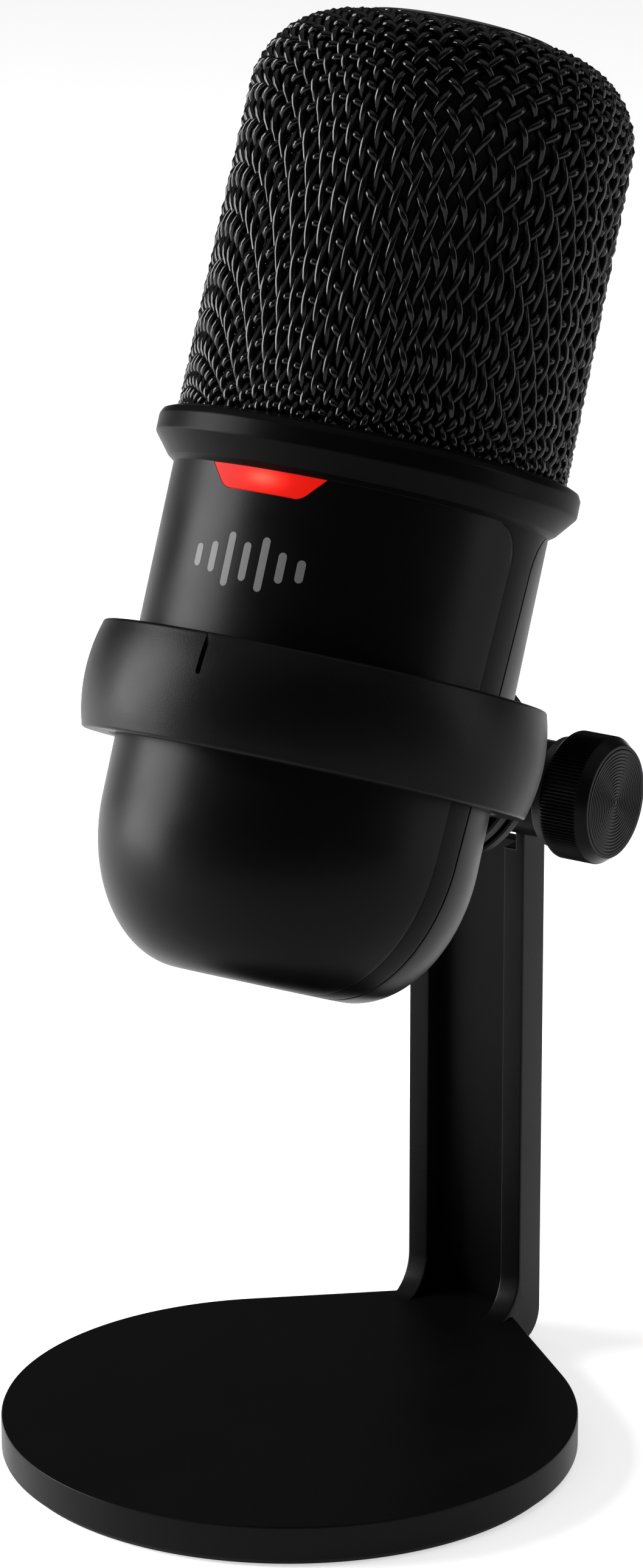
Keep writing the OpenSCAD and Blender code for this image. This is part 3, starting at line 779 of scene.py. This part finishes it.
def seamAngle(seam, side, inset, r, z):       # angle from the front to where a seam crosses radius r
    y = seam[0] + seam[1] * z - side * inset
    above = z - (body["top"] - body["cornerRound"])
    if above > 0:
        y += side * (body["cornerRound"] - math.sqrt(max(body["cornerRound"] ** 2 - above ** 2, 0)))
    return math.acos(max(-1, min(1, -y / r)))


def wallPiece(name, rows, edges, columns, wall):       # a curved wall; edges(r, z) gives its two end angles
    soft = body["edge"]
    quarter = [math.radians(30 * k) for k in range(4)]
    rounding = [(soft * (1 - math.cos(t)), soft * (1 - math.sin(t))) for t in quarter]     # (inset, sink)
    sinks = [sink for _, sink in rounding] + [0] * (columns - 1) + [sink for _, sink in reversed(rounding)]
    bm = bmesh.new()
    skins = []
    for depth in (0, wall):
        skin = []
        for r, z, normalR, normalZ in rows:
            innerR, innerZ = r - depth * normalR, z - depth * normalZ
            first, last = edges(innerR, innerZ)
            way = math.copysign(1 / innerR, last - first)
            start, end = first + soft * way, last - soft * way
            angles = [first + inset * way for inset, _ in rounding]
            angles += [start + (end - start) * k / columns for k in range(1, columns)]
            angles += [last - inset * way for inset, _ in reversed(rounding)]
            line = []
            for angle, sink in zip(angles, sinks):
                sunk = sink if depth == 0 else 0
                pointR, pointZ = innerR - sunk * normalR, innerZ - sunk * normalZ
                line.append(bm.verts.new((pointR * math.sin(angle), -pointR * math.cos(angle), pointZ)))
            skin.append(line)
        skins.append(skin)
    return makeObject(name, closeSkins(bm, skins))


def closeSkins(bm, skins):       # joins two matching grids of points into one closed wall
    outer, inner = skins
    lastRow, lastColumn = len(outer) - 1, len(outer[0]) - 1
    for i in range(lastRow):
        for k in range(lastColumn):
            for skin in skins:
                bm.faces.new((skin[i][k], skin[i][k + 1], skin[i + 1][k + 1], skin[i + 1][k]))
        for k in (0, lastColumn):
            bm.faces.new((outer[i][k], outer[i + 1][k], inner[i + 1][k], inner[i][k]))
    for i in (0, lastRow):
        for k in range(lastColumn):
            bm.faces.new((outer[i][k], outer[i][k + 1], inner[i][k + 1], inner[i][k]))
    bmesh.ops.recalc_face_normals(bm, faces=bm.faces)
    return bm


def frontEdges(r, z):
    angle = seamAngle(body["frontSeam"], -1, 0, r, z)
    return -angle, angle


def rearEdges(r, z):
    angle = seamAngle(body["rearSeam"], 1, 0, r, z)
    return angle, 2 * math.pi - angle


def bandEdges(side):
    def edges(r, z):
        front = seamAngle(body["frontSeam"], -1, -body["gap"], r, z)
        rear = seamAngle(body["rearSeam"], 1, body["gap"], r, z)
        return side * front, side * rear
    return edges


def makeCollar():
    outline = rounded([
        (collar["inner"], collar["low"], 0), (collar["foot"] - 0.05, collar["low"], 0.08),
        (collar["foot"] + 0.05, collar["low"] + 0.15, 0.1), (collar["foot"] + 0.9, collar["neckZ"], 0.6),
        (collar["flare"], collar["flareZ"], 0.8), (collar["flare"], collar["top"] - 1.3, 0.7),
        (collar["flare"] - 0.4, collar["top"] - 0.5, 0.35), (collar["flare"] - 1.6, collar["top"], 0.3),
        (collar["lip"], collar["top"], 0.1), (collar["lip"], collar["seatZ"], 0),
        (collar["inner"], collar["seatZ"], 0)], 5)
    return turnedPiece("collar_ring", outline, 256)


# Status light and the printed level-meter mark, both bent round the body

light = {
    "low": 26.8,
    "top": 29.84,
    "lowHalf": 5.9,
    "topHalf": 8.7,
    "corner": 0.7,
    "gap": 0.10,
    "sunk": 0.02,
    "thick": 2.3,
    "glowDown": 1.2,          # where the bright spot is below the top, and its size
    "glowWide": 2.6,
    "glowTall": 1.1,
}
port = {"z": 20.0, "wide": 10.6, "tall": 4.9}
bottomCap = {"radius": 10.4, "thick": 1.35, "edge": 0.4}
mark = {
    "bars": 7,
    "pitch": 2.6,
    "barHalf": 0.55,
    "middle": 17.6,
    "heights": (1.5, 3.9),    # half heights of the end bars and the middle bar
    "beat": 0.28,             # how much lower every other bar is
    "proud": 0.03,
}


def bentPatch(name, centre, lowZ, topZ, halfAt, radius, depth, rows=28, columns=32):
    bm = bmesh.new()
    skins = []
    for r in (radius, radius - depth):
        skin = []
        for i in range(rows + 1):
            z = lowZ + (topZ - lowZ) * (1 - math.cos(math.pi * i / rows)) / 2
            half = max(halfAt(z), 0.02)
            xs = [centre + half * (2 * k / columns - 1) for k in range(columns + 1)]
            skin.append([bm.verts.new((x, -math.sqrt(r * r - x * x), z)) for x in xs])
        skins.append(skin)
    return makeObject(name, closeSkins(bm, skins))


def lightHalf(grow):
    def half(z):
        share = (z - light["low"]) / (body["top"] - light["low"])
        width = light["lowHalf"] + (light["topHalf"] - light["lowHalf"]) * share + grow
        corner, above = light["corner"] + grow, z - (light["low"] - grow)
        if above < corner:
            width -= corner - math.sqrt(max(corner ** 2 - (corner - above) ** 2, 0))
        return width
    return half


def makeLight():
    lens = bentPatch("status_light_lens", 0, light["low"], light["top"], lightHalf(0),
                     body["radius"] - light["sunk"], light["thick"])
    glow = lens.data.attributes.new("glow", "FLOAT", "POINT")
    values = []
    for vertex in lens.data.vertices:
        across = vertex.co.x / light["glowWide"]
        down = (body["top"] - light["glowDown"] - vertex.co.z) / light["glowTall"]
        values.append(math.exp(-across ** 2 - down ** 2))
    glow.data.foreach_set("value", values)
    return lens


def markHeight(bar):       # tall in the middle, low at the ends, with a beat between
    share = bar / (mark["bars"] - 1)
    low, high = mark["heights"]
    swing = math.sin(math.pi * share) * (1 - mark["beat"] + mark["beat"] * math.cos(math.pi * bar))
    return low + (high - low) * max(swing, 0)


def makeMark():
    pieces = []
    middle = mark["middle"]
    for bar in range(mark["bars"]):
        tall, wide = markHeight(bar), mark["barHalf"]
        centre = (bar - (mark["bars"] - 1) / 2) * mark["pitch"]

        def half(z, tall=tall, wide=wide):
            end = abs(z - middle) - (tall - wide)
            return wide if end <= 0 else math.sqrt(max(wide ** 2 - end ** 2, 0))

        pieces.append(bentPatch("mark_bar_%d" % (bar + 1), centre, middle - tall, middle + tall, half,
                                body["radius"] + mark["proud"], mark["proud"] + 0.05, 24, 6))
    return joinPieces("level_meter_mark", pieces)


def makeFrontShell():
    shell = wallPiece("front_shell_wall", bodyRows(), frontEdges, body["columns"], body["wall"])
    gap = light["gap"]
    notch = bentPatch("notch_form", 0, light["low"] - gap, body["top"] + 1.5, lightHalf(gap),
                      body["radius"] + 1.0, 5.0)
    return combine(shell, "DIFFERENCE", notch)


def makeRearShell():
    shell = wallPiece("rear_shell_wall", bodyRows(), rearEdges, body["columns"], body["wall"])
    half, end = (port["wide"] - port["tall"]) / 2, port["tall"] / 2
    outline = arcPoints(half, port["z"], end, end, -90, 90, 24)
    outline += arcPoints(-half, port["z"], end, end, 90, 270, 24)
    slot = prismPiece("slot_form", outline, -30, -15, Matrix.Rotation(math.radians(90), 4, "X"))
    return combine(shell, "DIFFERENCE", slot)


def makeChassis():
    rows, wall = bodyRows(), body["wall"] + 1
    bands = [wallPiece("band_form", rows, bandEdges(side), 14, wall) for side in (1, -1)]
    return joinPieces("chassis_band_and_collar", bands + [makeCollar()])


def makeBottomCap():
    low = body["domeZ"] - body["domeHeight"] + 0.1
    high, outer, edge = low + bottomCap["thick"], bottomCap["radius"], bottomCap["edge"]
    outline = [(0, low)] + arcPoints(outer - edge, low + edge, edge, edge, -90, 0, 5)
    return turnedPiece("bottom_cap_turned", outline + [(outer, high), (0, high)], 128)


def makePrintInk():
    material, tree, surface = blankMaterial("printed_mark")
    place = addNode(tree, "ShaderNodeTexCoord").outputs["Object"]
    grain = addNode(tree, "ShaderNodeTexNoise", inputs={"Vector": place, "Scale": 3000.0, "Detail": 2.0})
    tone = addNode(tree, "ShaderNodeMix", {"data_type": "RGBA"}, {
        "Factor": grain.outputs["Fac"], "A": (0.085, 0.085, 0.087, 1), "B": (0.12, 0.12, 0.122, 1)})
    tree.links.new(tone.outputs["Result"], surface.inputs["Base Color"])
    surface.inputs["Roughness"].default_value = 0.5
    surface.inputs["Specular IOR Level"].default_value = 0.2
    return material


finishPiece(makeFrontShell(), headPlace, "head", "shell_plastic", "front_shell")
finishPiece(makeRearShell(), headPlace, "head", "shell_plastic", "rear_shell")
finishPiece(makeChassis(), headPlace, "head", "trim_plastic", "chassis_frame")
finishPiece(makeBottomCap(), headPlace, "head", "trim_plastic", "bottom_cap")
finishPiece(makeLight(), headPlace, "head", "light_lens", "status_light")
finishPiece(makeMark(), headPlace, "head", "shell_plastic", material=makePrintInk())
print("stage: body")


# Woven grille: a flat square mesh drawn into a cup, so its wires run square at the front and aslant between

grille = {
    "Pitch": 2.14,            # of the flat mesh, before it is drawn
    "Wires": 53,              # in each direction
    "Samples": 213,           # points along a wire
    "Step": 0.535,            # a quarter of the pitch
    "Wire Radius": 0.53,
    "Wave": 0.56,             # how far a wire rises and falls
    "Hole": 13.0,             # radii on the flat mesh where it is cut
    "Rim": 56.0,
    "Crowding": 0.36,         # how much the upright wires close up at the front, back and sides
    "Shoulder X": 14.0,
    "Shoulder Z": 81.0,
    "Shoulder Radius": 11.0,
    "Foot Growth": 0.3,       # the wall's slight flare down to its foot
    "Wall Height": 44.0,
}
crowding = {                  # by radius on the flat mesh
    "begins": (16.0, 30.0),
    "eases": (34.0, 54.0),
    "left": 0.3,              # share of it left at the rim
}
# Where points of the flat mesh end up along the cup: radius on the flat, distance down the profile.
# The corners of the mesh are drawn most at mid height.
drawn = [(13.0, 13.0), (20.0, 20.0), (26.0, 26.0), (30.9, 31.5), (34.6, 37.5), (46.4, 62.5), (50.6, 70.5),
         (56.0, 76.5)]


def weaveTree():
    tree, given = newTree("woven_grille", grille)
    families = [wireFamily(tree, given, turned) for turned in (False, True)]
    wires = addNode(tree, "GeometryNodeJoinGeometry")
    for family in families:
        tree.links.new(family, wires.inputs["Geometry"])
    paths = addNode(tree, "GeometryNodeMeshToCurve", inputs={"Mesh": wires.outputs["Geometry"]})
    section = addNode(tree, "GeometryNodeCurvePrimitiveCircle", {"mode": "RADIUS"},
                      {"Resolution": 6, "Radius": given["Wire Radius"]})
    tubes = addNode(tree, "GeometryNodeCurveToMesh", inputs={
        "Curve": paths.outputs["Curve"], "Profile Curve": section.outputs["Curve"], "Fill Caps": True})
    soft = addNode(tree, "GeometryNodeSetShadeSmooth", inputs={"Geometry": tubes.outputs["Mesh"]})
    return endTree(tree, soft.outputs["Geometry"], given["Finish"])


def wireFamily(tree, given, turned):       # straight wires laid flat, cut to a ring, then drawn over the cup
    calc = mathsIn(tree)
    spacing = given["Step"]
    reach = calc("MULTIPLY", calc("SUBTRACT", given["Samples"], 1.0), calc("MULTIPLY", spacing, -0.5))
    width = calc("MULTIPLY", calc("SUBTRACT", given["Wires"], 1.0), calc("MULTIPLY", given["Pitch"], -0.5))

    def vector(along, across):
        ends = {"X": along, "Y": across} if turned else {"X": across, "Y": along}
        return addNode(tree, "ShaderNodeCombineXYZ", inputs=ends).outputs["Vector"]

    wire = addNode(tree, "GeometryNodeMeshLine", {"mode": "OFFSET"}, {
        "Count": given["Samples"], "Start Location": vector(reach, 0.0), "Offset": vector(spacing, 0.0)})
    places = addNode(tree, "GeometryNodeMeshLine", {"mode": "OFFSET"}, {
        "Count": given["Wires"], "Start Location": vector(0.0, width), "Offset": vector(0.0, given["Pitch"])})
    laid = addNode(tree, "GeometryNodeInstanceOnPoints", inputs={
        "Points": places.outputs["Mesh"], "Instance": wire.outputs["Mesh"]})
    real = addNode(tree, "GeometryNodeRealizeInstances", inputs={"Geometry": laid.outputs["Instances"]})
    place = addNode(tree, "GeometryNodeInputPosition").outputs["Position"]
    flat = addNode(tree, "ShaderNodeVectorMath", {"operation": "LENGTH"}, {0: place}).outputs["Value"]
    away = calc("ADD", calc("LESS_THAN", flat, given["Hole"]), calc("GREATER_THAN", flat, given["Rim"]))
    cutOut = addNode(tree, "GeometryNodeDeleteGeometry", {"domain": "POINT"}, {
        "Geometry": real.outputs["Geometry"], "Selection": away})

    (flatStart, downStart), (flatEnd, downEnd) = drawn[0], drawn[-1]
    flatSpan, downSpan = flatEnd - flatStart, downEnd - downStart
    curve = addNode(tree, "ShaderNodeFloatCurve", inputs={
        "Value": calc("DIVIDE", calc("SUBTRACT", flat, flatStart), flatSpan)})
    points = curve.mapping.curves[0].points
    shares = [((a - flatStart) / flatSpan, (b - downStart) / downSpan) for a, b in drawn]
    points[0].location, points[-1].location = shares[0], shares[-1]
    for share in shares[1:-1]:
        points.new(*share)
    curve.mapping.update()
    down = calc("MULTIPLY_ADD", curve.outputs["Value"], downSpan)
    down.node.inputs[2].default_value = downStart

    overTop = calc("MINIMUM", down, given["Shoulder X"])
    pastTop = calc("SUBTRACT", down, overTop)
    turn = calc("MINIMUM", calc("DIVIDE", pastTop, given["Shoulder Radius"]), math.pi / 2)
    onWall = calc("SUBTRACT", pastTop, calc("MULTIPLY", turn, given["Shoulder Radius"]))
    flare = calc("MULTIPLY", calc("DIVIDE", onWall, given["Wall Height"]), given["Foot Growth"])
    lift = wireWave(tree, given, place, turned)
    bend = calc("ADD", given["Shoulder Radius"], lift)
    reachOut = calc("MULTIPLY", bend, calc("SINE", turn))
    outFrom = calc("ADD", calc("ADD", overTop, flare), reachOut)
    reachUp = calc("MULTIPLY", bend, calc("COSINE", turn))
    height = calc("SUBTRACT", calc("ADD", given["Shoulder Z"], reachUp), onWall)

    parts = addNode(tree, "ShaderNodeSeparateXYZ", inputs={"Vector": place}).outputs
    angle = calc("ARCTAN2", parts["Y"], parts["X"])
    (beginsAt, fullAt), (easesAt, leastAt) = crowding["begins"], crowding["eases"]
    begins = addNode(tree, "ShaderNodeMapRange", {"interpolation_type": "SMOOTHSTEP"}, {
        "Value": flat, "From Min": beginsAt, "From Max": fullAt}).outputs["Result"]
    eases = addNode(tree, "ShaderNodeMapRange", inputs={
        "Value": flat, "From Min": easesAt, "From Max": leastAt,
        "To Min": 1.0, "To Max": crowding["left"]}).outputs["Result"]
    crowd = calc("MULTIPLY", calc("MULTIPLY", begins, eases), calc("DIVIDE", given["Crowding"], 4.0))
    bunched = calc("SUBTRACT", angle, calc("MULTIPLY", crowd, calc("SINE", calc("MULTIPLY", angle, 4.0))))
    outward = addNode(tree, "ShaderNodeCombineXYZ", inputs={
        "X": calc("COSINE", bunched), "Y": calc("SINE", bunched)}).outputs["Vector"]
    level = addNode(tree, "ShaderNodeVectorMath", {"operation": "SCALE"}, {0: outward, "Scale": outFrom})
    risen = addNode(tree, "ShaderNodeCombineXYZ", inputs={"Z": height})
    final = addNode(tree, "ShaderNodeVectorMath", {"operation": "ADD"}, {
        0: level.outputs["Vector"], 1: risen.outputs["Vector"]})
    moved = addNode(tree, "GeometryNodeSetPosition", inputs={
        "Geometry": cutOut.outputs["Geometry"], "Position": final.outputs["Vector"]})
    return moved.outputs["Geometry"]


def wireWave(tree, given, place, turned):       # over one crossing wire and under the next
    calc = mathsIn(tree)
    parts = addNode(tree, "ShaderNodeSeparateXYZ", inputs={"Vector": place}).outputs
    half = calc("MULTIPLY", calc("SUBTRACT", given["Wires"], 1.0), 0.5)
    steps = calc("DIVIDE", calc("ADD", parts["X"], parts["Y"]), given["Pitch"])
    phase = calc("MULTIPLY", calc("ADD", steps, calc("MULTIPLY", half, 2.0)), math.pi)
    size = calc("MULTIPLY", given["Wave"], -1.0 if turned else 1.0)
    return calc("MULTIPLY", calc("COSINE", phase), size)


def makeGrille():
    seed = bmesh.new()
    seed.verts.new((0, 0, 0))
    weave = makeObject("grille_weave", seed)
    return runTree(weave, weaveTree(), {**grille, "Finish": finishes["grille_wire"]})


finishPiece(makeGrille(), headPlace, "head", "grille_wire", "grille", crease=0)


# Foam behind the wires, and the touch plate on top

foam = {
    "inset": 2.15,            # in from the cup's own surface
    "thick": 1.9,
    "low": 36.6,
    "rough": 0.12,
    "cell": 1.1,
    "shoulder": 12.1,         # the cup's outer radii, at its shoulder and its foot
    "foot": 26.4,
}
touchPlate = {"radius": 13.4, "low": 92.0, "high": 93.6, "edge": 0.4}


def makeFoam():
    shoulderX, shoulderZ = grille["Shoulder X"], grille["Shoulder Z"]
    outer, foot = foam["shoulder"] - foam["inset"], foam["foot"] - foam["inset"]
    inner = outer - foam["thick"]
    outline = [(foot - (foot - shoulderX - outer) * k / 30, foam["low"] + (shoulderZ - foam["low"]) * k / 30)
               for k in range(30)]
    outline += arcPoints(shoulderX, shoulderZ, outer, outer, 0, 90, 16)
    outline += arcPoints(shoulderX, shoulderZ, inner, inner, 90, 0, 8)
    outline.append((foot - foam["thick"], foam["low"]))
    liner = turnedPiece("foam_liner_skin", outline, 160)
    for vertex in liner.data.vertices:
        level = Vector((vertex.co.x, vertex.co.y, 0)).normalized()
        vertex.co -= level * foam["rough"] * (0.5 + 0.5 * noise.noise(vertex.co / foam["cell"]))
    return liner


def makeTouchPlate():
    radius, high, edge = touchPlate["radius"], touchPlate["high"], touchPlate["edge"]
    outline = [(0, touchPlate["low"]), (radius, touchPlate["low"])]
    outline += arcPoints(radius - edge, high - edge, edge, edge, 0, 90, 6) + [(0, high)]
    return turnedPiece("touch_plate_disc", outline, 160)


finishPiece(makeFoam(), headPlace, "head", "foam_black", "foam_liner", crease=60)

finishPiece(makeTouchPlate(), headPlace, "head", "plate_gloss", "touch_plate")
print("stage: foam and touch plate")


# Frame pieces kept as they are, each in its own finish

kept = {
    "fastener_steel": ["base_screws", "hinge_nut", "clamp_screw", "swivel_pin", "board_screws",
                       "deck_screws"],
    "soft_rubber": ["ring_liner"],
    "board_green": ["light_board", "main_board", "sensor_board"],
    "led_white": ["light_leds"],
    "part_black": ["board_parts", "port_bezel", "deck_plate", "mic_frame", "capsule_cup", "capsule_lead",
                   "plate_seat"],
    "port_metal": ["usb_port"],
    "capsule_metal": ["capsule"],
    "grille_wire": ["grille_hem"],
}
for slot, names in kept.items():
    for name in names:
        node = frame["nodes"][name]
        node.data.materials.clear()
        node.data.materials.append(finishes[slot])
print("stage: frame pieces finished")
